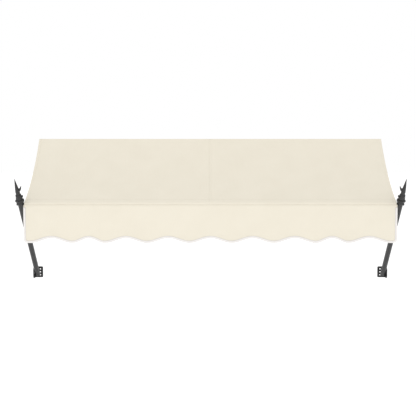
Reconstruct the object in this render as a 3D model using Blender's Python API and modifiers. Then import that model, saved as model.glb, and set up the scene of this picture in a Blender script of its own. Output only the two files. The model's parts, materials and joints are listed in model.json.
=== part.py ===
"""Open-sided fabric awning on two fixed spear arms, to hang on a wall over a window.

Frame: metres, +Z up, the wall is the plane y = 0 and the awning stands out along -Y.
The origin is on the wall, behind the middle of the head rail.
Projections from the wall are written as positive numbers called "out" and placed at y = -out.
"""
import math

import bmesh
import bpy
from mathutils import Matrix, Vector

# ---------------------------------------------------------------- driving dimensions
CANOPY_WIDTH = 1.900
VALANCE_WIDTH = 1.908
ARM_SPREAD = 1.942          # between the centre lines of the two arms
FRONT_BAR_OUT = 0.400       # wall to the centre of the front bar
FRONT_BAR_DROP = 0.320      # head rail centre down to the front bar centre
PIVOT_OUT = 0.030           # wall to the arm's lower bolt
PIVOT_DROP = 0.732          # head rail centre down to the arm's lower bolt
VALANCE_DROP = 0.517        # head rail centre down to the lowest points of the valance
WAVE_HEIGHT = 0.024
FULL_WAVE = 0.216           # width of an ordinary scallop
NARROW_WAVE = 0.165         # the last scallop but one at each end
CANOPY_SAG = 0.029          # how far the cloth hangs below a straight line

CLOTH = 0.0012
GAP = 0.0003
BINDING_WIDTH = 0.012
BINDING_CLOTH = 0.0006

RAIL_HEIGHT = 0.030
RAIL_DEPTH = 0.014
RAIL_WALL = 0.0016
RAIL_LENGTH = 1.890
CLIP_THICKNESS = 0.003
CLIP_WIDTH = 0.025
CLIP_SPACING = 0.850

BAR_RADIUS = 0.0127
BAR_WALL = 0.0016
BAR_LENGTH = 1.896
ARM_RADIUS = 0.014
ARM_WALL = 0.002
BOLT_RADIUS = 0.004
BRACKET_THICKNESS = 0.004
BRACKET_HEIGHT = 0.062
BRACKET_HOLE_RADIUS = 0.0038
BRACKET_HOLE_PITCH = 0.0167
SPEAR_LENGTH = 0.180        # front bar centre to the spear's tip, along the arm

# ---------------------------------------------------------------- values worked out from them
RAIL_BACK = CLIP_THICKNESS + GAP + CLOTH + GAP
RAIL_MIDDLE = RAIL_BACK + RAIL_DEPTH / 2
WRAP_RADIUS = BAR_RADIUS + GAP + CLOTH / 2
VALANCE_OUT = FRONT_BAR_OUT + WRAP_RADIUS + CLOTH + GAP
ARM_X = ARM_SPREAD / 2
ARM_RISE = PIVOT_DROP - FRONT_BAR_DROP
ARM_REACH = FRONT_BAR_OUT - PIVOT_OUT
ARM_LENGTH = math.hypot(ARM_RISE, ARM_REACH)
ARM_LEAN = math.atan2(ARM_REACH, ARM_RISE)

# ---------------------------------------------------------------- scene
for old in list(bpy.data.objects):
    bpy.data.objects.remove(old)

awning = bpy.data.collections.new("spear_awning")
cutters = bpy.data.collections.new("cutters")
bpy.context.scene.collection.children.link(awning)
bpy.context.scene.collection.children.link(cutters)


def make_material(name, colour, metallic, roughness):
    material = bpy.data.materials.new(name)
    material.use_nodes = True
    shader = material.node_tree.nodes["Principled BSDF"]
    shader.inputs["Base Color"].default_value = (*colour, 1.0)
    shader.inputs["Metallic"].default_value = metallic
    shader.inputs["Roughness"].default_value = roughness
    return material


LINEN = ("linen_canvas", (0.760, 0.715, 0.600), 0.0, 0.85)
TAPE = ("white_binding", (0.860, 0.850, 0.830), 0.0, 0.80)
BLACK = ("black_coated_steel", (0.030, 0.030, 0.031), 0.4, 0.42)
CASTING = ("black_coated_casting", (0.026, 0.026, 0.027), 0.4, 0.50)
SILVER = ("mill_aluminium", (0.720, 0.730, 0.740), 1.0, 0.35)
ZINC = ("zinc_steel", (0.620, 0.625, 0.630), 1.0, 0.32)
PLASTIC = ("black_plastic", (0.035, 0.035, 0.036), 0.0, 0.55)


def finish(shape, paint):
    """Give a piece its own material."""
    name, colour, metallic, roughness = paint
    material = make_material(name + "_" + shape.name, colour, metallic, roughness)
    shape.data.materials.clear()
    shape.data.materials.append(material)


def new_object(name, data, parent=None, place=(0, 0, 0), turn=(0, 0, 0), home=None):
    shape = bpy.data.objects.new(name, data)
    (home or awning).objects.link(shape)
    shape.parent = parent
    shape.location = place
    shape.rotation_euler = turn
    return shape


def smooth(mesh, degrees=35):
    mesh.shade_smooth()
    mesh.set_sharp_from_angle(angle=math.radians(degrees))


def box_mesh(name, size, centre=(0, 0, 0)):
    block = bmesh.new()
    bmesh.ops.create_cube(block, size=1.0)
    bmesh.ops.scale(block, vec=size, verts=block.verts)
    bmesh.ops.translate(block, vec=centre, verts=block.verts)
    mesh = bpy.data.meshes.new(name)
    block.to_mesh(mesh)
    block.free()
    return mesh


def rod_mesh(name, radius, length, axis="Z", centre=(0, 0, 0), sides=24):
    """A solid cylinder, or a hexagon prism with six sides."""
    rod = bmesh.new()
    bmesh.ops.create_cone(rod, cap_ends=True, segments=sides, radius1=radius, radius2=radius,
                          depth=length)
    if axis == "X":
        bmesh.ops.rotate(rod, matrix=Matrix.Rotation(math.pi / 2, 3, "Y"), verts=rod.verts)
    if axis == "Y":
        bmesh.ops.rotate(rod, matrix=Matrix.Rotation(math.pi / 2, 3, "X"), verts=rod.verts)
    bmesh.ops.translate(rod, vec=centre, verts=rod.verts)
    mesh = bpy.data.meshes.new(name)
    rod.to_mesh(mesh)
    rod.free()
    return mesh


def turned(name, profile, closed=False, parent=None, place=(0, 0, 0), turn=(0, 0, 0), steps=28):
    """Turn a (radius, height) profile round Z. Its outer side runs from top to bottom."""
    outline = bmesh.new()
    points = [outline.verts.new((radius, 0, height)) for radius, height in profile]
    for first, second in zip(points, points[1:]):
        outline.edges.new((first, second))
    if closed:
        outline.edges.new((points[-1], points[0]))
    mesh = bpy.data.meshes.new(name)
    outline.to_mesh(mesh)
    outline.free()
    shape = new_object(name, mesh, parent, place, turn)
    spin = shape.modifiers.new("spin", "SCREW")
    spin.axis = "Z"
    spin.steps = steps
    spin.render_steps = steps
    spin.use_merge_vertices = True
    spin.merge_threshold = 0.00001
    return shape


def ring_profile(outer, inner, top, bottom):
    return [(outer, top), (outer, bottom), (inner, bottom), (inner, top)]


def hidden_tool(name, mesh, parent, place=(0, 0, 0), turn=(0, 0, 0)):
    tool = new_object(name, mesh, parent, place, turn, home=cutters)
    tool.hide_render = True
    tool.display_type = "WIRE"
    return tool


def combine(shape, tool, operation):
    cut = shape.modifiers.new(tool.name, "BOOLEAN")
    cut.operation = operation
    cut.object = tool
    cut.solver = "EXACT"


def outline_mesh(name, points, thickness, rounding=0.0):
    """A flat outline in the X-Y plane, extruded to a plate of the given thickness."""
    curve = bpy.data.curves.new(name + "_outline", "CURVE")
    curve.dimensions = "2D"
    curve.fill_mode = "BOTH"
    curve.extrude = thickness / 2 - rounding
    curve.bevel_depth = rounding
    curve.bevel_resolution = 1
    curve.offset = -rounding
    spline = curve.splines.new("POLY")
    spline.points.add(len(points) - 1)
    for point, (x, y) in zip(spline.points, points):
        point.co = (x, y, 0, 1)
    spline.use_cyclic_u = True
    guide = bpy.data.objects.new(name + "_outline", curve)
    awning.objects.link(guide)
    evaluated = guide.evaluated_get(bpy.context.evaluated_depsgraph_get())
    mesh = bpy.data.meshes.new_from_object(evaluated)
    mesh.name = name
    bpy.data.objects.remove(guide)
    weld = bmesh.new()
    weld.from_mesh(mesh)
    bmesh.ops.remove_doubles(weld, verts=weld.verts, dist=0.00002)
    bmesh.ops.recalc_face_normals(weld, faces=weld.faces)
    weld.to_mesh(mesh)
    weld.free()
    return mesh


def rounded_corner(centre_x, centre_y, radius, start, end, count=5):
    angles = [math.radians(start + (end - start) * i / count) for i in range(count + 1)]
    return [(centre_x + radius * math.cos(a), centre_y + radius * math.sin(a)) for a in angles]


# ---------------------------------------------------------------- head rail and its wall clips
head_rail = new_object(
    "head_rail",
    box_mesh("head_rail", (RAIL_LENGTH, RAIL_DEPTH, RAIL_HEIGHT)),
    place=(0, -RAIL_MIDDLE, 0),
)
rail_bore = hidden_tool(
    "rail_bore",
    box_mesh("rail_bore", (
        RAIL_LENGTH + 0.02,
        RAIL_DEPTH - 2 * RAIL_WALL,
        RAIL_HEIGHT - 2 * RAIL_WALL,
    )),
    head_rail,
)
combine(head_rail, rail_bore, "DIFFERENCE")
finish(head_rail, SILVER)

for side, word in ((-1, "left"), (1, "right")):
    flange = 0.002
    cap_x = side * (RAIL_LENGTH / 2 + GAP + flange / 2)
    cap = new_object(
        "rail_cap_" + word,
        box_mesh("rail_cap_" + word, (flange, RAIL_DEPTH, RAIL_HEIGHT)),
        place=(cap_x, -RAIL_MIDDLE, 0),
    )
    plug = hidden_tool(
        "rail_cap_plug_" + word,
        box_mesh("rail_cap_plug_" + word, (
            0.012 + flange,
            RAIL_DEPTH - 2 * RAIL_WALL - 2 * GAP,
            RAIL_HEIGHT - 2 * RAIL_WALL - 2 * GAP,
        ), (-side * 0.006, 0, 0)),
        cap,
    )
    combine(cap, plug, "UNION")
    finish(cap, PLASTIC)

for clip_x, word in ((-CLIP_SPACING, "left"), (0.0, "centre"), (CLIP_SPACING, "right")):
    shelf_z = -RAIL_HEIGHT / 2 - GAP - CLIP_THICKNESS / 2
    clip_top = 0.013
    clip_bottom = -0.045
    plate_height = clip_top - clip_bottom
    clip = new_object(
        "wall_clip_" + word,
        box_mesh("wall_clip_" + word, (CLIP_WIDTH, CLIP_THICKNESS, plate_height), (
            0, -CLIP_THICKNESS / 2, (clip_top + clip_bottom) / 2)),
        place=(clip_x, 0, 0),
    )
    shelf = hidden_tool(
        "clip_shelf_" + word,
        box_mesh("clip_shelf_" + word, (CLIP_WIDTH, 0.019, CLIP_THICKNESS), (
            0, -0.0095 - CLIP_THICKNESS / 2, shelf_z)),
        clip,
    )
    wall_hole = hidden_tool(
        "clip_wall_hole_" + word,
        rod_mesh("clip_wall_hole_" + word, 0.003, 0.02, "Y", (0, 0, -0.033)),
        clip,
    )
    screw_hole = hidden_tool(
        "clip_screw_hole_" + word,
        rod_mesh("clip_screw_hole_" + word, 0.0026, 0.012, "Z", (0, -RAIL_MIDDLE, shelf_z + 0.002)),
        clip,
        turn=(0, 0, 0),
    )
    combine(clip, shelf, "UNION")
    combine(clip, wall_hole, "DIFFERENCE")
    combine(clip, screw_hole, "DIFFERENCE")
    combine(head_rail, screw_hole, "DIFFERENCE")
    finish(clip, ZINC)

    head_top = shelf_z - CLIP_THICKNESS / 2 - GAP
    screw = turned(
        "rail_screw_" + word,
        [(0, 0.010), (0.0021, 0.010), (0.0021, 0), (0.0045, 0), (0.0042, -0.0022),
         (0.0022, -0.0032), (0, -0.0034)],
        place=(clip_x, -RAIL_MIDDLE, head_top),
        steps=16,
    )
    finish(screw, ZINC)


# ---------------------------------------------------------------- canopy cloth
def canopy_profile():
    """Middle line of the cloth as (out, z): up behind the rail, over it, down to the front bar
    in a shallow hanging curve, and round the bar."""
    bend = 0.0015
    back = RAIL_BACK - GAP - CLOTH / 2
    top = RAIL_HEIGHT / 2 + GAP + CLOTH / 2
    front = RAIL_BACK + RAIL_DEPTH + GAP + CLOTH / 2
    points = [(back, -0.010), (back, 0.004)]
    for step in range(4):
        angle = math.pi / 2 * step / 3
        points.append((back + bend - bend * math.cos(angle), top - bend + bend * math.sin(angle)))
    for step in range(3):
        angle = math.pi / 4 * step / 2
        points.append((front - bend + bend * math.sin(angle), top - bend + bend * math.cos(angle)))
    start = Vector(points[-1])

    # The slope at the front bar and the point where the cloth meets it depend on each other.
    slope = math.radians(27)
    for _ in range(20):
        end = Vector((
            FRONT_BAR_OUT + WRAP_RADIUS * math.sin(slope),
            -FRONT_BAR_DROP + WRAP_RADIUS * math.cos(slope),
        ))
        chord = end - start
        slope = math.atan2(-chord.y, chord.x) - math.atan(4 * CANOPY_SAG / chord.length)
    down = Vector((chord.y, -chord.x)).normalized()
    steps = 20
    for step in range(1, steps + 1):
        part = step / steps
        point = start + chord * part + down * (4 * CANOPY_SAG * part * (1 - part))
        points.append((point.x, point.y))

    last = math.radians(315)
    turns = 18
    for step in range(1, turns + 1):
        angle = slope + (last - slope) * step / turns
        points.append((
            FRONT_BAR_OUT + WRAP_RADIUS * math.sin(angle),
            -FRONT_BAR_DROP + WRAP_RADIUS * math.cos(angle),
        ))
    return points


def cloth_strip(name, profile, low_x, high_x):
    """Sweep a profile along X and give it the cloth's thickness."""
    sheet = bmesh.new()
    verts = [sheet.verts.new((low_x, -out, z)) for out, z in profile]
    edges = [sheet.edges.new(pair) for pair in zip(verts, verts[1:])]
    swept = bmesh.ops.extrude_edge_only(sheet, edges=edges)
    moved = [part for part in swept["geom"] if isinstance(part, bmesh.types.BMVert)]
    bmesh.ops.translate(sheet, vec=(high_x - low_x, 0, 0), verts=moved)
    mesh = bpy.data.meshes.new(name)
    sheet.to_mesh(mesh)
    sheet.free()
    smooth(mesh, 40)
    shape = new_object(name, mesh)
    shell = shape.modifiers.new("thickness", "SOLIDIFY")
    shell.thickness = CLOTH
    shell.offset = 0.0
    shell.use_even_offset = True
    return shape


canopy_left = cloth_strip("canopy_panel_left", canopy_profile(), -CANOPY_WIDTH / 2, -GAP / 2)
canopy_right = cloth_strip("canopy_panel_right", canopy_profile(), GAP / 2, CANOPY_WIDTH / 2)
finish(canopy_left, LINEN)
finish(canopy_right, LINEN)


# ---------------------------------------------------------------- valance and its binding
def wave_line():
    """The valance's lower edge from left to right, as (x, z)."""
    half = [FULL_WAVE / 2, FULL_WAVE, FULL_WAVE, NARROW_WAVE, FULL_WAVE]
    lows = [sum(half[: count + 1]) for count in range(len(half))]
    lows = [-x for x in reversed(lows)] + lows
    points = []
    for low, high in zip(lows, lows[1:]):
        steps = 8
        for step in range(steps):
            part = step / steps
            rise = WAVE_HEIGHT * (1 - math.cos(2 * math.pi * part)) / 2
            points.append((low + (high - low) * part, -VALANCE_DROP + rise))
    points.append((lows[-1], -VALANCE_DROP))
    return points


def valance_edge(inset, top):
    """Down the left end, along the waves and up the right end, moved inwards by inset."""
    half = VALANCE_WIDTH / 2
    radius = 0.020
    corner = [
        (-half + radius - radius * math.cos(a), -VALANCE_DROP + radius - radius * math.sin(a))
        for a in [math.pi / 2 * step / 5 for step in range(6)]
    ]
    line = [(-half, top), (-half, (top - VALANCE_DROP) / 2)] + corner + wave_line()
    line += [(-x, z) for x, z in reversed(corner)]
    line += [(half, (top - VALANCE_DROP) / 2), (half, top)]
    moved = []
    for index, (x, z) in enumerate(line):
        before = Vector(line[max(index - 1, 0)])
        after = Vector(line[min(index + 1, len(line) - 1)])
        along = (after - before).normalized()
        moved.append((x - along.y * inset, z + along.x * inset))
    return moved


valance_top = -FRONT_BAR_DROP - 0.002
valance_mesh = outline_mesh("valance", valance_edge(0.0008, valance_top), CLOTH)
valance = new_object("valance", valance_mesh, place=(0, -VALANCE_OUT, 0), turn=(math.pi / 2, 0, 0))
finish(valance, LINEN)


def binding_sheet():
    """A tape folded over the valance's edge: front leg, fold and back leg, swept along it."""
    top = -FRONT_BAR_DROP - WRAP_RADIUS - CLOTH
    leg = CLOTH / 2 + GAP + BINDING_CLOTH / 2
    section = [(BINDING_WIDTH, -leg), (0.0, -leg), (0.0, leg), (BINDING_WIDTH, leg)]
    tape = bmesh.new()
    rows = []
    for inset, depth in section:
        edge = valance_edge(inset, top)
        rows.append([tape.verts.new((x, -VALANCE_OUT - depth, z)) for x, z in edge])
    for lower, upper in zip(rows, rows[1:]):
        for index in range(len(lower) - 1):
            tape.faces.new((lower[index], lower[index + 1], upper[index + 1], upper[index]))
    bmesh.ops.recalc_face_normals(tape, faces=tape.faces)
    mesh = bpy.data.meshes.new("valance_binding")
    tape.to_mesh(mesh)
    tape.free()
    shape = new_object("valance_binding", mesh)
    shell = shape.modifiers.new("thickness", "SOLIDIFY")
    shell.thickness = BINDING_CLOTH
    shell.offset = 0.0
    return shape


finish(binding_sheet(), TAPE)

# ---------------------------------------------------------------- front bar
front_bar = turned(
    "front_bar",
    ring_profile(BAR_RADIUS, BAR_RADIUS - BAR_WALL, BAR_LENGTH / 2, -BAR_LENGTH / 2),
    closed=True,
    place=(0, -FRONT_BAR_OUT, -FRONT_BAR_DROP),
    turn=(0, math.pi / 2, 0),
)
finish(front_bar, BLACK)


# ---------------------------------------------------------------- one side: arm, spear, bracket
def build_side(side, word):
    """side is -1 on the left and +1 on the right. The arm's frame has Z along the arm."""
    inboard = -side
    pivot = bpy.data.objects.new("arm_axis_" + word, None)
    awning.objects.link(pivot)
    pivot.location = (side * ARM_X, -PIVOT_OUT, -PIVOT_DROP)
    pivot.rotation_euler = (ARM_LEAN, 0, 0)
    bar = ARM_LENGTH

    # Bar plug: closes the front bar and takes the arm bolt's thread.
    plug_flange = 0.002
    plug_reach = BAR_LENGTH / 2 + GAP
    plug_inner = BAR_RADIUS - BAR_WALL - GAP
    plug = turned(
        "bar_plug_" + word,
        [(BAR_RADIUS, plug_flange), (BAR_RADIUS, 0), (plug_inner, 0), (plug_inner, -0.020),
         (BOLT_RADIUS + GAP, -0.020), (BOLT_RADIUS + GAP, plug_flange)],
        closed=True,
        place=(side * plug_reach, -FRONT_BAR_OUT, -FRONT_BAR_DROP),
        turn=(0, side * math.pi / 2, 0),
        steps=24,
    )
    finish(plug, PLASTIC)

    # Spacer between the bar's end and the arm.
    spacer_start = plug_reach + plug_flange + GAP
    spacer_end = ARM_X - ARM_RADIUS - GAP
    spacer = turned(
        "bar_spacer_" + word,
        ring_profile(0.0085, BOLT_RADIUS + GAP, spacer_end - spacer_start, 0),
        closed=True,
        place=(side * spacer_start, -FRONT_BAR_OUT, -FRONT_BAR_DROP),
        turn=(0, side * math.pi / 2, 0),
        steps=24,
    )
    finish(spacer, BLACK)

    # Arm bolt: hexagon head on the outer side, shank through the arm into the bar plug.
    head_base = ARM_RADIUS + GAP
    head_height = 0.0055
    shank_inner = -(ARM_X - plug_reach + 0.015)
    shank_length = head_base - shank_inner
    arm_bolt = new_object(
        "arm_bolt_" + word,
        rod_mesh("arm_bolt_" + word, 0.0075, head_height, "X",
                 (side * (head_base + head_height / 2), 0, 0), sides=6),
        place=(side * ARM_X, -FRONT_BAR_OUT, -FRONT_BAR_DROP),
    )
    shank = hidden_tool(
        "arm_bolt_shank_" + word,
        rod_mesh("arm_bolt_shank_" + word, BOLT_RADIUS, shank_length + 0.002, "X",
                 (side * (head_base + shank_inner + 0.002) / 2, 0, 0), sides=20),
        arm_bolt,
    )
    combine(arm_bolt, shank, "UNION")
    finish(arm_bolt, BLACK)

    # Arm tube, from just below the lower bolt to inside the spear's socket.
    tube_bottom = -0.014
    tube_top = bar + 0.040
    tube = turned(
        "arm_tube_" + word,
        ring_profile(ARM_RADIUS, ARM_RADIUS - ARM_WALL, tube_top, tube_bottom),
        closed=True,
        parent=pivot,
    )
    bar_bolt_hole = hidden_tool(
        "bar_bolt_hole_" + word,
        rod_mesh("bar_bolt_hole_" + word, BOLT_RADIUS + GAP, 0.040, "X", (0, 0, bar), sides=20),
        pivot,
    )
    pivot_bolt_hole = hidden_tool(
        "pivot_bolt_hole_" + word,
        rod_mesh("pivot_bolt_hole_" + word, BOLT_RADIUS + GAP, 0.024, "X",
                 (-inboard * 0.0070, 0, 0), sides=20),
        pivot,
    )
    combine(tube, bar_bolt_hole, "DIFFERENCE")
    combine(tube, pivot_bolt_hole, "DIFFERENCE")
    finish(tube, BLACK)

    # Arm foot: a domed plug in the tube's lower end that takes the lower bolt's thread.
    plug_radius = ARM_RADIUS - ARM_WALL - GAP
    foot = turned(
        "arm_foot_" + word,
        [(0, 0.024), (plug_radius, 0.024), (plug_radius, tube_bottom - GAP),
         (ARM_RADIUS, tube_bottom - GAP), (0.0136, -0.0162), (0.0118, -0.0180),
         (0.0080, -0.0193), (0, -0.0198)],
        parent=pivot,
    )
    combine(foot, pivot_bolt_hole, "DIFFERENCE")
    finish(foot, CASTING)

    # Wall bracket: a flange with three screw holes and one ear outside the arm.
    ear_inner = 0.0160
    flange_inner = 0.0260
    hole_x = 0.0110
    ear_reach = 0.048
    half_height = BRACKET_HEIGHT / 2
    low_x = -ear_inner - BRACKET_THICKNESS
    corner = 0.006
    outline = [(low_x, half_height), (low_x, -half_height)]
    outline += rounded_corner(flange_inner - corner, -half_height + corner, corner, 270, 360)
    outline += rounded_corner(flange_inner - corner, half_height - corner, corner, 0, 90)
    outline = [(inboard * x, z) for x, z in outline]
    bracket = new_object(
        "wall_bracket_" + word,
        outline_mesh("wall_bracket_" + word, outline, BRACKET_THICKNESS),
        place=(side * ARM_X, -BRACKET_THICKNESS / 2, -PIVOT_DROP),
        turn=(math.pi / 2, 0, 0),
    )
    nose = 0.016
    ear_outline = [(0.0, half_height), (0.0, -half_height)]
    ear_outline += rounded_corner(ear_reach - nose, -half_height + nose, nose, 270, 360)
    ear_outline += rounded_corner(ear_reach - nose, half_height - nose, nose, 0, 90)
    ear = hidden_tool(
        "bracket_ear_" + word,
        outline_mesh("bracket_ear_" + word, ear_outline, BRACKET_THICKNESS),
        bracket,
    )
    # The ear's outline has its first axis out from the wall and its second axis up.
    ear.matrix_parent_inverse = bracket.matrix_basis.inverted()
    ear_x = side * (ARM_X + ear_inner + BRACKET_THICKNESS / 2)
    ear.matrix_basis = (
        Matrix.Translation((ear_x, 0, -PIVOT_DROP))
        @ Matrix.Rotation(-math.pi / 2, 4, "Z")
        @ Matrix.Rotation(math.pi / 2, 4, "X")
    )
    combine(bracket, ear, "UNION")
    for index in (-1, 0, 1):
        screw_hole = hidden_tool(
            "bracket_hole_" + word + str(index + 2),
            rod_mesh("bracket_hole_" + word + str(index + 2), BRACKET_HOLE_RADIUS, 0.020, "Y"),
            None,
            place=(side * (ARM_X - hole_x), 0, -PIVOT_DROP + index * BRACKET_HOLE_PITCH),
        )
        combine(bracket, screw_hole, "DIFFERENCE")
    pivot_hole = hidden_tool(
        "bracket_pivot_hole_" + word,
        rod_mesh("bracket_pivot_hole_" + word, BOLT_RADIUS + GAP, 0.016, "X", sides=20),
        None,
        place=(ear_x, -PIVOT_OUT, -PIVOT_DROP),
    )
    combine(bracket, pivot_hole, "DIFFERENCE")
    finish(bracket, BLACK)

    # Washer between the arm and the ear.
    washer = turned(
        "pivot_washer_" + word,
        ring_profile(0.0085, BOLT_RADIUS + GAP, ear_inner - ARM_RADIUS - 2 * GAP, 0),
        closed=True,
        place=(side * (ARM_X + ARM_RADIUS + GAP), -PIVOT_OUT, -PIVOT_DROP),
        turn=(0, side * math.pi / 2, 0),
        steps=24,
    )
    finish(washer, ZINC)

    # Lower bolt: low round head outside the ear, shank into the foot's thread.
    ear_outer = ear_inner + BRACKET_THICKNESS + GAP
    pivot_bolt = turned(
        "pivot_bolt_" + word,
        [(0, 0.0030), (0.0030, 0.0028), (0.0056, 0.0018), (0.0070, 0.0), (BOLT_RADIUS, 0.0),
         (BOLT_RADIUS, -0.0245), (0, -0.0245)],
        place=(side * (ARM_X + ear_outer), -PIVOT_OUT, -PIVOT_DROP),
        turn=(0, side * math.pi / 2, 0),
        steps=24,
    )
    finish(pivot_bolt, BLACK)

    # Collar: a beaded ring round the arm with a boss on each side.
    bore = ARM_RADIUS + GAP
    collar = turned(
        "collar_" + word,
        [(0.0165, 0.0380), (0.0182, 0.0362), (0.0182, 0.0322), (0.0168, 0.0300),
         (0.0168, 0.0210), (0.0186, 0.0188), (0.0186, 0.0138), (0.0166, 0.0120),
         (bore, 0.0120), (bore, 0.0380)],
        closed=True,
        parent=pivot,
        place=(0, 0, bar),
    )
    inner_boss = hidden_tool(
        "collar_inner_boss_" + word,
        box_mesh("collar_inner_boss_" + word, (0.0070, 0.0120, 0.0130),
                 (inboard * 0.0188, 0, bar + 0.0300)),
        pivot,
    )
    outer_boss = hidden_tool(
        "collar_outer_boss_" + word,
        box_mesh("collar_outer_boss_" + word, (0.0070, 0.0100, 0.0100),
                 (-inboard * 0.0186, 0, bar + 0.0240)),
        pivot,
    )
    combine(collar, inner_boss, "UNION")
    combine(collar, outer_boss, "UNION")
    finish(collar, CASTING)

    # Spear head: a pointed casting with a socket plug below and one barb on the inner side.
    shoulder = 0.0400 + GAP
    spear = turned(
        "spear_head_" + word,
        [(0, SPEAR_LENGTH), (0.0012, SPEAR_LENGTH - 0.001), (0.0035, 0.160), (0.0066, 0.135),
         (0.0096, 0.108), (0.0112, 0.090), (0.0110, 0.082), (0.0098, 0.076), (0.0100, 0.072),
         (0.0140, 0.0690), (0.0152, 0.0655), (0.0152, 0.0530), (0.0168, 0.0500),
         (0.0168, 0.0440), (0.0152, shoulder), (plug_radius, shoulder), (plug_radius, 0.0130),
         (0, 0.0130)],
        parent=pivot,
        place=(0, 0, bar),
    )
    barb = [
        (0.0040, 0.0900), (0.0100, 0.0935), (0.0160, 0.0995), (0.0205, 0.1085),
        (0.0235, 0.1200), (0.0255, 0.1340), (0.0205, 0.1270), (0.0170, 0.1195),
        (0.0125, 0.1130), (0.0040, 0.1120),
    ]
    if inboard < 0:
        barb = [(-x, z) for x, z in reversed(barb)]
    horn = hidden_tool(
        "spear_barb_" + word,
        outline_mesh("spear_barb_" + word, barb, 0.0070, 0.0010),
        pivot,
        place=(0, 0, bar),
        turn=(math.pi / 2, 0, 0),
    )
    screw_bore = hidden_tool(
        "spear_screw_bore_" + word,
        rod_mesh("spear_screw_bore_" + word, 0.0028, 0.012, "X",
                 (inboard * 0.0140, 0, bar + 0.0590), sides=16),
        pivot,
    )
    combine(spear, horn, "UNION")
    combine(spear, screw_bore, "DIFFERENCE")
    finish(spear, CASTING)

    # Spear screw: a hexagon-headed set screw in the spear's base.
    spear_screw = new_object(
        "spear_screw_" + word,
        rod_mesh("spear_screw_" + word, 0.0062, 0.0060, "X",
                 (inboard * (0.0155 + 0.0030), 0, bar + 0.0590), sides=6),
        pivot,
    )
    screw_shank = hidden_tool(
        "spear_screw_shank_" + word,
        rod_mesh("spear_screw_shank_" + word, 0.0025, 0.0085, "X",
                 (inboard * 0.0127, 0, bar + 0.0590), sides=16),
        pivot,
    )
    combine(spear_screw, screw_shank, "UNION")
    finish(spear_screw, BLACK)


build_side(-1, "left")
build_side(1, "right")
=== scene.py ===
"""Looks for the spear-arm window awning: sewn canvas canopy, bound valance and black-coated arms.

Metres, +Z up. The wall is the plane y = 0 and the awning stands out along -Y.
"Out" below is a distance from the wall, placed at y = -out.
"""
import json
import math

import bmesh
import bpy
import numpy as np
from mathutils import Matrix, Vector, noise


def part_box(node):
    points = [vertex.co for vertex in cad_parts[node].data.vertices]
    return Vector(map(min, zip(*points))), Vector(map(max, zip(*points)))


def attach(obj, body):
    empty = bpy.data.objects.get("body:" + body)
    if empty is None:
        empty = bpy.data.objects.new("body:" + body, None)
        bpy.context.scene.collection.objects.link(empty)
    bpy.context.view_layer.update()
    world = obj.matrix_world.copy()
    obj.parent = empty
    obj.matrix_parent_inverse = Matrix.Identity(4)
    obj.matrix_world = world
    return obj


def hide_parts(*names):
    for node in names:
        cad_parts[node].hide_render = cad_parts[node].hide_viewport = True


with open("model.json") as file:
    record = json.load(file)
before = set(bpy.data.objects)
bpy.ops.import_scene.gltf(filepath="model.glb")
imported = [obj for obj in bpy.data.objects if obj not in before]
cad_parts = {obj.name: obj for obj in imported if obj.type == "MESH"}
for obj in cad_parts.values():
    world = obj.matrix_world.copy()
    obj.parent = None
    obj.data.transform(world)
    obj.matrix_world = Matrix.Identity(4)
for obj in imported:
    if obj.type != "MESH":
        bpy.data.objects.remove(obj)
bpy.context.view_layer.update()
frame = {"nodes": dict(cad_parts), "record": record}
nodes = frame["nodes"]

# ---------------------------------------------------------------- measures taken from the CAD model
rail_low, rail_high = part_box("head_rail")
bar_low, bar_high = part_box("front_bar")
left_low, left_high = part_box("canopy_panel_left")
right_low, right_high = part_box("canopy_panel_right")
valance_low, valance_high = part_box("valance")

HALF_WIDTH = right_high[0]
RAIL_BACK = -rail_high[1]
RAIL_FRONT = -rail_low[1]
RAIL_TOP = rail_high[2]
BAR_OUT = -(bar_low[1] + bar_high[1]) / 2
BAR_Z = (bar_low[2] + bar_high[2]) / 2
BAR_RADIUS = (bar_high[2] - bar_low[2]) / 2
VALANCE_HALF = 0.954
VALANCE_TOP = valance_high[2]
VALANCE_BOTTOM = -0.517

CLOTH = 0.0006
LAYER = 0.00072             # from one layer of cloth to the next in a hem
SAG = 0.029
HEM = 0.015
WRAP = BAR_RADIUS + 0.00115
FULL_WAVE = 0.216
NARROW_WAVE = 0.165
WAVE_HEIGHT = 0.024
CORNER = 0.020
TAPE = 0.012


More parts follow.
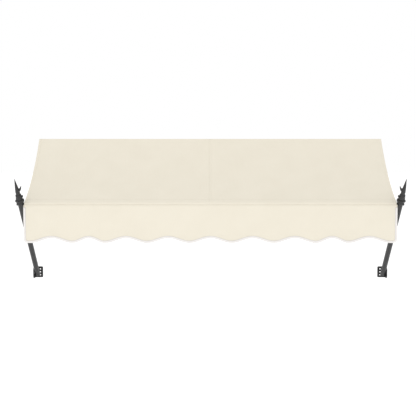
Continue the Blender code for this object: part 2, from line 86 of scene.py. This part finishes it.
# ---------------------------------------------------------------- shader helpers
class Shader:
    """A small helper that lays nodes out in a material."""

    def __init__(self, name):
        self.material = bpy.data.materials.new(name)
        self.material.use_nodes = True
        self.tree = self.material.node_tree
        self.surface = self.tree.nodes["Principled BSDF"]

    def node(self, kind, **values):
        made = self.tree.nodes.new(kind)
        for key, value in values.items():
            setattr(made, key, value)
        return made

    def link(self, source, target):
        self.tree.links.new(source, target)

    def put(self, socket, value):
        if isinstance(value, (int, float, tuple)):
            socket.default_value = value
        else:
            self.link(value, socket)

    def math(self, operation, first, second=0.0, third=0.0, clamp=False):
        made = self.node("ShaderNodeMath", operation=operation, use_clamp=clamp)
        self.put(made.inputs[0], first)
        self.put(made.inputs[1], second)
        if len(made.inputs) > 2:
            self.put(made.inputs[2], third)
        return made.outputs[0]

    def noise(self, vector, scale, detail=3.0, roughness=0.55, distortion=0.0):
        made = self.node("ShaderNodeTexNoise")
        self.link(vector, made.inputs["Vector"])
        made.inputs["Scale"].default_value = scale
        made.inputs["Detail"].default_value = detail
        made.inputs["Roughness"].default_value = roughness
        made.inputs["Distortion"].default_value = distortion
        return made.outputs["Fac"]

    def stretched(self, vector, scale):
        made = self.node("ShaderNodeMapping")
        self.link(vector, made.inputs["Vector"])
        made.inputs["Scale"].default_value = scale
        return made.outputs["Vector"]

    def remap(self, value, low, high, out_low, out_high):
        made = self.node("ShaderNodeMapRange")
        self.put(made.inputs["Value"], value)
        made.inputs["From Min"].default_value = low
        made.inputs["From Max"].default_value = high
        made.inputs["To Min"].default_value = out_low
        made.inputs["To Max"].default_value = out_high
        return made.outputs["Result"]

    def mix(self, factor, first, second, blend="MIX"):
        made = self.node("ShaderNodeMix", data_type="RGBA", blend_type=blend)
        self.put(made.inputs[0], factor)
        self.put(made.inputs[6], first)
        self.put(made.inputs[7], second)
        return made.outputs[2]

    def bump(self, height, strength, distance, below=None):
        made = self.node("ShaderNodeBump")
        made.inputs["Strength"].default_value = strength
        made.inputs["Distance"].default_value = distance
        self.link(height, made.inputs["Height"])
        if below is not None:
            self.link(below, made.inputs["Normal"])
        return made.outputs["Normal"]


def rgb(red, green, blue):
    return (red, green, blue, 1.0)


def cloth_map(shader):
    """The cloth's own coordinates in metres: across the width and along the drop."""
    coordinates = shader.node("ShaderNodeUVMap", uv_map="cloth")
    split = shader.node("ShaderNodeSeparateXYZ")
    shader.link(coordinates.outputs["UV"], split.inputs[0])
    return coordinates.outputs["UV"], split.outputs[0], split.outputs[1]


def plain_weave(shader, across, along, pitch):
    """Height of a plain weave: warp and weft yarns that pass over each other in turn."""
    u = shader.math("MULTIPLY", across, 1.0 / pitch)
    v = shader.math("MULTIPLY", along, 1.0 / pitch)
    warp = shader.math("ABSOLUTE", shader.math("SINE", shader.math("MULTIPLY", u, math.pi)))
    weft = shader.math("ABSOLUTE", shader.math("SINE", shader.math("MULTIPLY", v, math.pi)))
    cells = shader.math("ADD", shader.math("FLOOR", u), shader.math("FLOOR", v))
    over = shader.math("PINGPONG", cells, 1.0)
    difference = shader.math("SUBTRACT", warp, weft)
    return shader.math("MULTIPLY_ADD", over, difference, weft)


def canvas_material():
    """Solution-dyed linen-coloured awning canvas, with painted shade in the hollows of the weave."""
    shader = Shader("linen_canvas_cloth")
    plane, across, along = cloth_map(shader)
    weave = plain_weave(shader, across, along, 0.00075)
    slubs = shader.noise(shader.stretched(plane, (9.0, 620.0, 1.0)), 1.0, 3.0, 0.6)
    warps = shader.noise(shader.stretched(plane, (700.0, 6.0, 1.0)), 1.0, 3.0, 0.6)
    flecks = shader.noise(plane, 900.0, 2.0, 0.6)
    mottle = shader.noise(plane, 7.0, 4.0, 0.55, 0.4)
    streaks = shader.math("ADD", slubs, warps)
    tint = shader.mix(
        shader.remap(mottle, 0.3, 0.7, 0.0, 1.0),
        rgb(0.752, 0.702, 0.590),
        rgb(0.776, 0.727, 0.616),
    )
    tint = shader.mix(
        shader.remap(streaks, 0.75, 1.25, 0.0, 0.10), tint, rgb(0.640, 0.585, 0.470))
    tint = shader.mix(
        shader.remap(flecks, 0.35, 0.75, 0.0, 0.14), tint, rgb(0.860, 0.825, 0.730))
    # Painted shade: the low places of the weave are darkened towards deep brown.
    weave_valley_painted_shade = shader.remap(weave, 0.0, 0.55, 0.16, 0.0)
    tint = shader.mix(weave_valley_painted_shade, tint, rgb(0.420, 0.370, 0.285))
    shader.link(tint, shader.surface.inputs["Base Color"])
    shader.link(shader.remap(flecks, 0.3, 0.7, 0.80, 0.93), shader.surface.inputs["Roughness"])
    shader.surface.inputs["Specular IOR Level"].default_value = 0.28
    shader.surface.inputs["Sheen Weight"].default_value = 0.12
    shader.surface.inputs["Sheen Roughness"].default_value = 0.55
    soft = shader.bump(mottle, 0.10, 0.004)
    lines = shader.bump(streaks, 0.16, 0.0004, soft)
    shader.link(shader.bump(weave, 0.42, 0.00018, lines), shader.surface.inputs["Normal"])
    return shader.material


def tape_material():
    """White binding tape, ribbed across its length, with painted shade in the rib grooves and a
    painted shade line along the inner edge where it is sewn down.
    """
    shader = Shader("white_binding_tape")
    plane, along, across = cloth_map(shader)
    ribs = shader.math("ABSOLUTE", shader.math(
        "SINE", shader.math("MULTIPLY", along, math.pi / 0.0011)))
    threads = shader.math("ABSOLUTE", shader.math(
        "SINE", shader.math("MULTIPLY", across, math.pi / 0.0005)))
    weave = shader.math("MULTIPLY_ADD", threads, 0.35, ribs)
    mottle = shader.noise(plane, 26.0, 3.0, 0.55)
    tint = shader.mix(
        shader.remap(mottle, 0.3, 0.7, 0.0, 1.0),
        rgb(0.765, 0.738, 0.716),
        rgb(0.800, 0.775, 0.752),
    )
    # Painted shade: the grooves between the ribs are darkened towards grey.
    tint = shader.mix(shader.remap(ribs, 0.0, 0.5, 0.22, 0.0), tint, rgb(0.47, 0.45, 0.43))
    # Painted shade: a band along the tape's inner edge, at the sewn-down step, is darkened towards
    # brown.
    sewn = shader.remap(shader.math("ABSOLUTE", across), TAPE - 0.0034, TAPE - 0.0008, 0.0, 0.42)
    tint = shader.mix(sewn, tint, rgb(0.40, 0.36, 0.31))
    shader.link(tint, shader.surface.inputs["Base Color"])
    shader.surface.inputs["Roughness"].default_value = 0.82
    shader.surface.inputs["Specular IOR Level"].default_value = 0.30
    shader.surface.inputs["Sheen Weight"].default_value = 0.10
    shader.link(shader.bump(weave, 0.45, 0.00016), shader.surface.inputs["Normal"])
    return shader.material


def thread_material(name, colour):
    """Bonded polyester thread with its twist, with painted shade in the twist's grooves and painted
    highlight on its crests.
    """
    shader = Shader(name)
    where = shader.node("ShaderNodeTexCoord").outputs["Object"]
    twist = shader.node("ShaderNodeTexWave", wave_type="BANDS", bands_direction="DIAGONAL")
    shader.link(where, twist.inputs["Vector"])
    twist.inputs["Scale"].default_value = 520.0
    # Painted light and shade: the thread is lighter on the twist's crests and darker in its grooves,
    # following the bands of the bump.
    light = tuple(min(1.0, part * 1.08) for part in colour)
    twist_groove_painted_shade = tuple(part * 0.72 for part in colour)
    tint = shader.mix(twist.outputs["Fac"], rgb(*twist_groove_painted_shade), rgb(*light))
    shader.link(tint, shader.surface.inputs["Base Color"])
    shader.surface.inputs["Roughness"].default_value = 0.55
    shader.link(shader.bump(twist.outputs["Fac"], 0.5, 0.0001), shader.surface.inputs["Normal"])
    return shader.material


def coated_material(name, colour, roughness, grain, depth):
    """Black coat on metal: fine orange peel with painted highlight on its crests, a coarser skin and
    a few duller patches.
    """
    shader = Shader(name)
    where = shader.node("ShaderNodeTexCoord").outputs["Object"]
    peel = shader.noise(where, grain, 3.0, 0.6)
    skin = shader.noise(where, grain * 0.16, 4.0, 0.55, 0.3)
    patch = shader.noise(where, 34.0, 4.0, 0.6, 0.5)
    lighter = tuple(part * 1.55 for part in colour)
    tint = shader.mix(shader.remap(patch, 0.35, 0.7, 0.0, 1.0), rgb(*colour), rgb(*lighter))
    # Painted highlight: the highest orange-peel crests are lightened.
    tint = shader.mix(
        shader.remap(peel, 0.62, 0.80, 0.0, 0.35), tint, rgb(*(part * 2.4 for part in colour)))
    shader.link(tint, shader.surface.inputs["Base Color"])
    rough = shader.math("MULTIPLY_ADD", shader.remap(patch, 0.3, 0.7, -0.05, 0.08), 1.0, roughness)
    shader.link(rough, shader.surface.inputs["Roughness"])
    shader.surface.inputs["Specular IOR Level"].default_value = 0.42
    under = shader.bump(skin, 0.22, depth * 3.0)
    shader.link(shader.bump(peel, 0.35, depth, under), shader.surface.inputs["Normal"])
    return shader.material


def metal_material(name, colour, roughness, streak):
    """Bare or plated metal with drawn streaks along X and a cloudy tone."""
    shader = Shader(name)
    where = shader.node("ShaderNodeTexCoord").outputs["Object"]
    lines = shader.noise(shader.stretched(where, streak), 1.0, 4.0, 0.6)
    cloud = shader.noise(where, 48.0, 4.0, 0.6, 0.6)
    dull = tuple(part * 0.80 for part in colour)
    tint = shader.mix(shader.remap(cloud, 0.3, 0.7, 0.0, 1.0), rgb(*dull), rgb(*colour))
    shader.link(tint, shader.surface.inputs["Base Color"])
    shader.surface.inputs["Metallic"].default_value = 1.0
    shader.link(
        shader.remap(lines, 0.3, 0.7, roughness - 0.08, roughness + 0.12),
        shader.surface.inputs["Roughness"],
    )
    shader.link(shader.bump(lines, 0.25, 0.0001), shader.surface.inputs["Normal"])
    return shader.material


def plastic_material():
    shader = Shader("moulded_black_plastic")
    where = shader.node("ShaderNodeTexCoord").outputs["Object"]
    grain = shader.noise(where, 1500.0, 2.0, 0.5)
    flow = shader.noise(where, 60.0, 3.0, 0.5, 0.8)
    tint = shader.mix(shader.remap(flow, 0.3, 0.7, 0.0, 1.0), rgb(0.020, 0.020, 0.021),
                      rgb(0.034, 0.034, 0.035))
    shader.link(tint, shader.surface.inputs["Base Color"])
    shader.link(shader.remap(flow, 0.3, 0.7, 0.46, 0.60), shader.surface.inputs["Roughness"])
    shader.link(shader.bump(grain, 0.30, 0.00008), shader.surface.inputs["Normal"])
    return shader.material


canvas = canvas_material()
tape_cloth = tape_material()
thread = thread_material("linen_thread", (0.700, 0.650, 0.540))
white_thread = thread_material("white_thread", (0.760, 0.735, 0.710))
black_steel = coated_material("black_coated_steel", (0.020, 0.020, 0.0205), 0.40, 1500.0, 0.00006)
black_cast = coated_material("black_coated_casting", (0.018, 0.018, 0.0185), 0.47, 700.0, 0.00016)
aluminium = metal_material("mill_aluminium", (0.72, 0.73, 0.74), 0.36, (6.0, 900.0, 900.0))
zinc = metal_material("zinc_plated_steel", (0.60, 0.605, 0.61), 0.34, (90.0, 90.0, 90.0))
plastic = plastic_material()


# ---------------------------------------------------------------- mesh helpers
def smoothstep(low, high, value):
    part = min(1.0, max(0.0, (value - low) / (high - low)))
    return part * part * (3 - 2 * part)


def hill(value, centre, width):
    return math.exp(-((value - centre) / width) ** 2)


def spread(low, high, pitch):
    """Evenly spaced values from low to high, both included."""
    count = max(1, round((high - low) / pitch))
    return [low + (high - low) * i / count for i in range(count + 1)]


def grid_object(name, rows, maps, material, thickness=0.0, offset=0.0):
    """A sheet from rows of points, with its cloth coordinates as a UV map."""
    mesh = bpy.data.meshes.new(name)
    wide = len(rows[0])
    points = [point for row in rows for point in row]
    faces = []
    for j in range(len(rows) - 1):
        for i in range(wide - 1):
            start = j * wide + i
            faces.append((start, start + 1, start + 1 + wide, start + wide))
    mesh.from_pydata(points, [], faces)
    flat_maps = [place for row in maps for place in row]
    layer = mesh.uv_layers.new(name="cloth")
    for loop in mesh.loops:
        layer.data[loop.index].uv = flat_maps[loop.vertex_index]
    mesh.shade_smooth()
    mesh.materials.append(material)
    made = bpy.data.objects.new(name, mesh)
    bpy.context.scene.collection.objects.link(made)
    if thickness:
        shell = made.modifiers.new("cloth thickness", "SOLIDIFY")
        shell.thickness = thickness
        shell.offset = offset
        shell.use_even_offset = False
    return made


def stitches(name, runs, material, pitch=0.0040, length=0.0029, radius=0.00030):
    """Rows of single stitches. Each run is a list of (point, outward normal)."""
    sides = 5
    shape = [(-0.5, 0.25), (-0.36, 0.85), (0.0, 1.0), (0.36, 0.85), (0.5, 0.25)]
    points = []
    faces = []
    for run in runs:
        places = [Vector(point) for point, _ in run]
        normals = [Vector(normal).normalized() for _, normal in run]
        lengths = [0.0]
        for first, second in zip(places, places[1:]):
            lengths.append(lengths[-1] + (second - first).length)
        count = int(lengths[-1] / pitch)
        index = 0
        for number in range(count):
            middle = (number + 0.5) * pitch
            while index < len(lengths) - 2 and lengths[index + 1] < middle:
                index += 1
            part = (middle - lengths[index]) / max(1e-9, lengths[index + 1] - lengths[index])
            along = (places[index + 1] - places[index]).normalized()
            up = normals[index].lerp(normals[index + 1], part).normalized()
            beside = along.cross(up).normalized()
            centre = places[index].lerp(places[index + 1], part)
            base = len(points)
            for step, swell in shape:
                lift = radius * (0.55 - 1.6 * abs(step) ** 2)
                for side in range(sides):
                    angle = 2 * math.pi * side / sides
                    points.append(
                        centre + along * (step * length) + up * (lift + radius * swell
                        * math.sin(angle)) + beside * (radius * swell * math.cos(angle))
                    )
            for ring in range(len(shape) - 1):
                for side in range(sides):
                    a = base + ring * sides + side
                    b = base + ring * sides + (side + 1) % sides
                    faces.append((a, b, b + sides, a + sides))
            faces.append(tuple(base + side for side in range(sides)))
            last = base + (len(shape) - 1) * sides
            faces.append(tuple(last + side for side in reversed(range(sides))))
    mesh = bpy.data.meshes.new(name)
    mesh.from_pydata(points, [], faces)
    work = bmesh.new()
    work.from_mesh(mesh)
    bmesh.ops.recalc_face_normals(work, faces=work.faces)
    work.to_mesh(mesh)
    work.free()
    mesh.shade_smooth()
    mesh.materials.append(material)
    made = bpy.data.objects.new(name, mesh)
    bpy.context.scene.collection.objects.link(made)
    return made


# ---------------------------------------------------------------- canopy
def canopy_path():
    """The canopy's middle line as (out, z) points, its length so far and its named places."""
    back = RAIL_BACK - 0.0013
    top = RAIL_TOP + 0.0012
    front = RAIL_FRONT + 0.0012
    bend = 0.0022
    line = [(back, z) for z in spread(-0.010, top - bend, 0.004)]
    for step in range(1, 6):
        angle = math.pi / 2 * step / 5
        line.append((back + bend - bend * math.cos(angle), top - bend + bend * math.sin(angle)))
    for step in range(0, 5):
        angle = math.radians(38) * step / 4
        line.append((front - bend + bend * math.sin(angle), top - bend + bend * math.cos(angle)))
    start = Vector(line[-1])
    leaves = len(line) - 1

    slope = math.radians(27)
    for _ in range(20):
        end = Vector((BAR_OUT + WRAP * math.sin(slope), BAR_Z + WRAP * math.cos(slope)))
        chord = end - start
        slope = math.atan2(-chord.y, chord.x) - math.atan(4 * SAG / chord.length)
    down = Vector((chord.y, -chord.x)).normalized()
    steps = 88
    for step in range(1, steps + 1):
        part = step / steps
        point = start + chord * part + down * (4 * SAG * part * (1 - part))
        line.append((point.x, point.y))
    meets = len(line) - 1

    # The cloth goes round the bar and back up to the canopy's underside, where it is sewn.
    sewn = Vector(line[meets - 4]) + down * LAYER
    tail = Vector(line[meets - 6]) + down * LAYER
    best = None
    for step in range(200, 330):
        angle = math.radians(step)
        place = Vector((BAR_OUT + WRAP * math.sin(angle), BAR_Z + WRAP * math.cos(angle)))
        heading = Vector((math.cos(angle), -math.sin(angle)))
        miss = (sewn - place).normalized().angle(heading)
        if best is None or miss < best[0]:
            best = (miss, angle, place)
    turns = 36
    for step in range(1, turns + 1):
        angle = slope + (best[1] - slope) * step / turns
        line.append((BAR_OUT + WRAP * math.sin(angle), BAR_Z + WRAP * math.cos(angle)))
    for part in (0.25, 0.5, 0.75, 1.0):
        point = best[2].lerp(sewn, part)
        line.append((point.x, point.y))
    line.append((tail.x, tail.y))

    lengths = [0.0]
    for first, second in zip(line, line[1:]):
        lengths.append(lengths[-1] + math.dist(first, second))
    places = {
        "leaves": lengths[leaves],
        "meets": lengths[meets],
        "sewn": lengths[meets - 4],
        "end": lengths[-1],
        "under": lengths[meets + turns],
    }
    return np.array(line), np.array(lengths), places


path, path_length, place_at = canopy_path()
heading = np.gradient(path, axis=0)
heading /= np.linalg.norm(heading, axis=1)[:, None]
# Turning the heading a quarter turn gives the side that faces the sky.
outward = np.stack([-heading[:, 1], heading[:, 0]], axis=1)


def canopy_lift(x, s):
    """How far the finished cloth stands off the middle line, towards the sky."""
    open_part = smoothstep(place_at["leaves"], place_at["leaves"] + 0.10, s)
    open_part *= 1 - smoothstep(place_at["sewn"] - 0.08, place_at["sewn"], s)
    ripple = noise.noise(Vector((x * 2.3, s * 5.0, 4.0)))
    pull = noise.noise(Vector((x * 9.0, s * 3.0, 9.0)))
    lift = open_part * (0.0016 * ripple + 0.0004 * pull)
    pucker = noise.noise(Vector((x * 55.0, 2.0, 1.0)))
    lift -= (0.0011 + 0.0003 * pucker) * hill(s, place_at["sewn"], 0.0042)
    lift += 0.0007 * hill(s, place_at["sewn"] + 0.012, 0.006)
    edge = HALF_WIDTH - abs(x)
    lift -= 0.00025 * hill(edge, HEM - 0.002, 0.0012)
    lift += open_part * 0.0010 * hill(edge, 0.0, 0.05) * noise.noise(Vector((s * 14.0, x, 3.0)))
    if place_at["leaves"] < s < place_at["under"]:
        lift += 0.0006 * (smoothstep(-0.0074, -0.0066, x) - smoothstep(0.0060, 0.0090, x))
    return lift


def canopy_place(x, s, layer=0.0):
    """A point of the cloth x across and s along, and the outward normal there."""
    out = np.interp(s, path_length, path[:, 0])
    z = np.interp(s, path_length, path[:, 1])
    normal_out = np.interp(s, path_length, outward[:, 0])
    normal_z = np.interp(s, path_length, outward[:, 1])
    lift = canopy_lift(x, s) + layer
    point = Vector((x, -(out + normal_out * lift), z + normal_z * lift))
    return point, Vector((0.0, -normal_out, normal_z)).normalized()


def canopy_columns():
    """(x, layer) of each column: the side hems fold under and the seam has close columns."""
    half = spread(0.012, HALF_WIDTH - HEM - 0.004, 0.016)
    half += [HALF_WIDTH - HEM, HALF_WIDTH - HEM + 0.002, HALF_WIDTH - 0.008]
    half += [HALF_WIDTH - 0.003, HALF_WIDTH - 0.0008]
    middle = [-0.0090, -0.0076, -0.0070, -0.0064, -0.0030, 0.0, 0.0030, 0.0060, 0.0075, 0.0090]
    folded = [
        (HALF_WIDTH - 0.0002, -0.12 * LAYER),
        (HALF_WIDTH, -0.5 * LAYER),
        (HALF_WIDTH - 0.0002, -0.88 * LAYER),
        (HALF_WIDTH - 0.0010, -LAYER),
        (HALF_WIDTH - 0.0060, -LAYER),
        (HALF_WIDTH - HEM, -LAYER),
    ]
    right = [(x, 0.0) for x in half] + folded
    left = [(-x, layer) for x, layer in reversed(right)]
    return left + [(x, 0.0) for x in middle] + right


def canopy_sheet():
    columns = canopy_columns()
    rows = []
    maps = []
    for s in path_length:
        rows.append([canopy_place(x, s, layer)[0] for x, layer in columns])
        maps.append([(x + 3 * layer, s) for x, layer in columns])
    return grid_object("canopy_cloth", rows, maps, canvas, CLOTH)


canopy = canopy_sheet()


def canopy_run(along_x, value, low, high, pitch, face=1.0):
    """A run of points for stitches: across at a fixed s, or down at a fixed x."""
    run = []
    for step in spread(low, high, pitch):
        x, s = (step, value) if along_x else (value, step)
        point, normal = canopy_place(x, s)
        run.append((point + normal * (CLOTH / 2 * face), normal * face))
    return run


side_in = HALF_WIDTH - HEM + 0.002
canopy_stitches = stitches(
    "canopy_stitches",
    [
        canopy_run(True, place_at["sewn"], -HALF_WIDTH + 0.003, HALF_WIDTH - 0.003, 0.01),
        canopy_run(False, -0.0045, place_at["leaves"] + 0.002, place_at["meets"] + 0.012, 0.004),
        canopy_run(False, 0.0045, place_at["leaves"] + 0.002, place_at["meets"] + 0.012, 0.004),
        canopy_run(False, -side_in, place_at["leaves"], place_at["meets"] + 0.012, 0.004),
        canopy_run(False, side_in, place_at["leaves"], place_at["meets"] + 0.012, 0.004),
    ],
    thread,
)
canopy_under_stitches = stitches(
    "canopy_under_stitches",
    [
        canopy_run(False, -0.0045, place_at["leaves"] + 0.01, place_at["sewn"] - 0.012, 0.006, -1),
        canopy_run(False, 0.0045, place_at["leaves"] + 0.01, place_at["sewn"] - 0.012, 0.006, -1),
    ],
    thread,
)
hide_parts("canopy_panel_left", "canopy_panel_right")
for piece in (canopy, canopy_stitches, canopy_under_stitches):
    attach(piece, "root")


# ---------------------------------------------------------------- valance
def wave_lows():
    widths = [FULL_WAVE / 2, FULL_WAVE, FULL_WAVE, NARROW_WAVE, FULL_WAVE]
    lows = [sum(widths[: count + 1]) for count in range(len(widths))]
    return [-x for x in reversed(lows)] + lows


LOWS = wave_lows()


def wave_rise(x):
    """Height of the lower edge above its lowest points."""
    if x <= LOWS[0] or x >= LOWS[-1]:
        return 0.0
    for low, high in zip(LOWS, LOWS[1:]):
        if low <= x <= high:
            return WAVE_HEIGHT * (1 - math.cos(2 * math.pi * (x - low) / (high - low))) / 2
    return 0.0


def valance_edge_z(x):
    """The lower edge of the finished valance, binding included, with its rounded corners."""
    z = VALANCE_BOTTOM + wave_rise(x)
    inside = VALANCE_HALF - abs(x)
    if inside < CORNER:
        z += CORNER - math.sqrt(max(0.0, CORNER ** 2 - (CORNER - inside) ** 2))
    return z


def valance_out(x, z):
    """Distance from the wall of the valance's middle. It moves a little more lower down."""
    drop = max(0.0, VALANCE_TOP - 0.008 - z) / 0.19
    lobe = 1 - 2 * wave_rise(x) / WAVE_HEIGHT
    wander = noise.noise(Vector((x * 3.1, z * 2.0, 12.0)))
    fold = noise.noise(Vector((x * 11.0, z * 1.2, 20.0)))
    forward = drop ** 1.4 * (0.0014 * lobe + 0.0022 * wander + 0.0007 * fold)
    return BAR_OUT + WRAP + 0.0022 + forward


def valance_sheet():
    front = 0.0
    columns = spread(-VALANCE_HALF + 0.0008, VALANCE_HALF - 0.0008, 0.009)
    hem_back = LAYER
    section = [(-0.0130, -hem_back), (-0.0070, -hem_back), (-0.0020, -hem_back),
               (-0.0006, -0.8 * hem_back), (-0.0002, -0.5 * hem_back), (-0.0006, -0.2 * hem_back),
               (-0.0020, 0.0)]
    rows = []
    maps = []
    for depth, back in section:
        row = []
        for x in columns:
            z = VALANCE_TOP + depth
            row.append(Vector((x, -(valance_out(x, z) + front + back), z)))
        rows.append(row)
        maps.append([(x, 0.012 + depth if back < -0.5 * hem_back else -depth) for x in columns])
    start = VALANCE_TOP - 0.0020
    parts = 30
    for step in range(1, parts + 1):
        part = step / parts
        row = []
        place = []
        for x in columns:
            bottom = valance_edge_z(x) + 0.0008
            z = start + (bottom - start) * part
            row.append(Vector((x, -valance_out(x, z), z)))
            place.append((x, VALANCE_TOP - z))
        rows.append(row)
        maps.append(place)
    return grid_object("valance_cloth", rows, maps, canvas, CLOTH)


valance = valance_sheet()


def edge_line():
    """Down the left end, along the waves and up the right end, as (x, z)."""
    top = BAR_Z - WRAP - 0.0010
    half = VALANCE_HALF
    low_start = VALANCE_BOTTOM + CORNER
    line = [(-half, z) for z in reversed(spread(low_start, top, 0.006))]
    for step in range(1, 10):
        angle = math.pi / 2 * step / 10
        line.append((-half + CORNER - CORNER * math.cos(angle), low_start - CORNER * math.sin(angle)))
    line += [(x, VALANCE_BOTTOM + wave_rise(x)) for x in spread(-half + CORNER, half - CORNER, 0.006)]
    for step in range(9, 0, -1):
        angle = math.pi / 2 * step / 10
        line.append((half - CORNER + CORNER * math.cos(angle), low_start - CORNER * math.sin(angle)))
    line += [(half, z) for z in spread(low_start, top, 0.006)]
    return line


def binding_parts():
    """The tape folded over the edge, and the runs its stitches follow, front and back."""
    line = edge_line()
    lengths = [0.0]
    for first, second in zip(line, line[1:]):
        lengths.append(lengths[-1] + math.dist(first, second))
    face = CLOTH / 2 + 0.00035
    section = [
        (TAPE, face), (TAPE - 0.0010, face + 0.00012), (TAPE * 0.62, face + 0.00010),
        (TAPE * 0.30, face + 0.00024), (0.0016, face + 0.00018), (0.0004, face * 0.75),
        (0.0, 0.0),
    ]
    section += [(inset, -depth) for inset, depth in reversed(section[:-1])]
    rows = []
    maps = []
    runs = {1: [], -1: []}
    for row_index, (inset, depth) in enumerate(section):
        row = []
        place = []
        for index, (x, z) in enumerate(line):
            before = Vector(line[max(index - 1, 0)])
            after = Vector(line[min(index + 1, len(line) - 1)])
            along = (after - before).normalized()
            new_x = x - along.y * inset
            new_z = z + along.x * inset
            pucker = noise.noise(Vector((lengths[index] * 60.0, inset * 90.0, 7.0)))
            bulge = depth * (1 + 0.22 * pucker)
            row.append(Vector((new_x, -(valance_out(new_x, new_z) + bulge), new_z)))
            place.append((lengths[index], inset if depth >= 0 else -inset))
        rows.append(row)
        maps.append(place)
    for side in (1, -1):
        for index, (x, z) in enumerate(line):
            before = Vector(line[max(index - 1, 0)])
            after = Vector(line[min(index + 1, len(line) - 1)])
            along = (after - before).normalized()
            new_x = x - along.y * (TAPE - 0.0022)
            new_z = z + along.x * (TAPE - 0.0022)
            out = valance_out(new_x, new_z) + side * (face + 0.00036)
            runs[side].append((Vector((new_x, -out, new_z)), Vector((0, -side, 0))))
    tape = grid_object("valance_tape", rows, maps, tape_cloth, 0.00045)
    return tape, [runs[1], runs[-1]], lengths[-1]


tape, tape_runs, tape_length = binding_parts()
tape_stitches = stitches("tape_stitches", tape_runs, white_thread, radius=0.00026)


def valance_run(z, face=1.0):
    run = []
    for x in spread(-VALANCE_HALF + 0.004, VALANCE_HALF - 0.004, 0.01):
        out = valance_out(x, z) + CLOTH / 2 * face
        run.append((Vector((x, -out, z)), Vector((0, -face, 0))))
    return run


valance_stitches = stitches("valance_stitches", [valance_run(VALANCE_TOP - 0.0045)], thread)
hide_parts("valance")
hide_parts("valance_binding")
for piece in (valance, tape, tape_stitches, valance_stitches):
    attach(piece, "root")

# ---------------------------------------------------------------- carried-over hard pieces
finishes = {
    "black_steel": black_steel,
    "black_casting": black_cast,
    "mill_aluminium": aluminium,
    "zinc_steel": zinc,
    "black_plastic": plastic,
}
slots = {part["node"]: part["material_slot"] for part in frame["record"]["subparts"]}
for name, node in nodes.items():
    if slots.get(name) in finishes:
        node.data.materials.clear()
        node.data.materials.append(finishes[slots[name]])

# ---------------------------------------------------------------- studio
scene = bpy.context.scene
scene.view_settings.view_transform = "Standard"
scene.view_settings.look = "None"
scene.view_settings.exposure = 0.0
scene.view_settings.gamma = 1.0


def studio_floor():
    """A wide pale floor, as far below the awning as a window head is above the ground."""
    disc = bmesh.new()
    bmesh.ops.create_circle(disc, cap_ends=True, segments=96, radius=60.0)
    mesh = bpy.data.meshes.new("studio_floor")
    disc.to_mesh(mesh)
    disc.free()
    shader = Shader("studio_floor")
    where = shader.node("ShaderNodeTexCoord").outputs["Object"]
    tone = shader.noise(where, 0.6, 3.0, 0.5)
    shader.link(
        shader.mix(tone, rgb(0.90, 0.90, 0.90), rgb(0.93, 0.93, 0.93)),
        shader.surface.inputs["Base Color"],
    )
    shader.surface.inputs["Roughness"].default_value = 0.9
    shader.surface.inputs["Emission Color"].default_value = rgb(1.0, 1.0, 1.0)
    shader.surface.inputs["Emission Strength"].default_value = 0.25
    mesh.materials.append(shader.material)
    floor = bpy.data.objects.new("studio_floor", mesh)
    floor.location = (0, 0, -2.2)
    scene.collection.objects.link(floor)


def soft_light(name, place, target, size, power):
    data = bpy.data.lights.new(name, "AREA")
    data.shape = "RECTANGLE"
    data.size, data.size_y = size
    data.energy = power
    light = bpy.data.objects.new(name, data)
    light.location = place
    aim = Vector(target) - Vector(place)
    light.rotation_euler = aim.to_track_quat("-Z", "Y").to_euler()
    scene.collection.objects.link(light)


studio_floor()
world = bpy.data.worlds.new("studio_world")
world.use_nodes = True
scene.world = world
backdrop = world.node_tree.nodes["Background"]
backdrop.inputs["Color"].default_value = (1.0, 1.0, 1.0, 1.0)
backdrop.inputs["Strength"].default_value = 1.0
soft_light("front_softbox", (-0.6, -5.0, 1.6), (0.0, -0.2, -0.3), (3.0, 1.2), 30.0)

# ---------------------------------------------------------------- camera
ELEVATION = math.radians(4.5)
camera_data = bpy.data.cameras.new("camera")
camera_data.sensor_width = 36.0
camera_data.lens = 794.6 / 416 * 36.0
camera = bpy.data.objects.new("camera", camera_data)
camera.location = (-0.0124, -4.4536, -0.020)
camera.rotation_euler = (math.pi / 2 - ELEVATION, 0, 0)
scene.collection.objects.link(camera)
scene.camera = camera
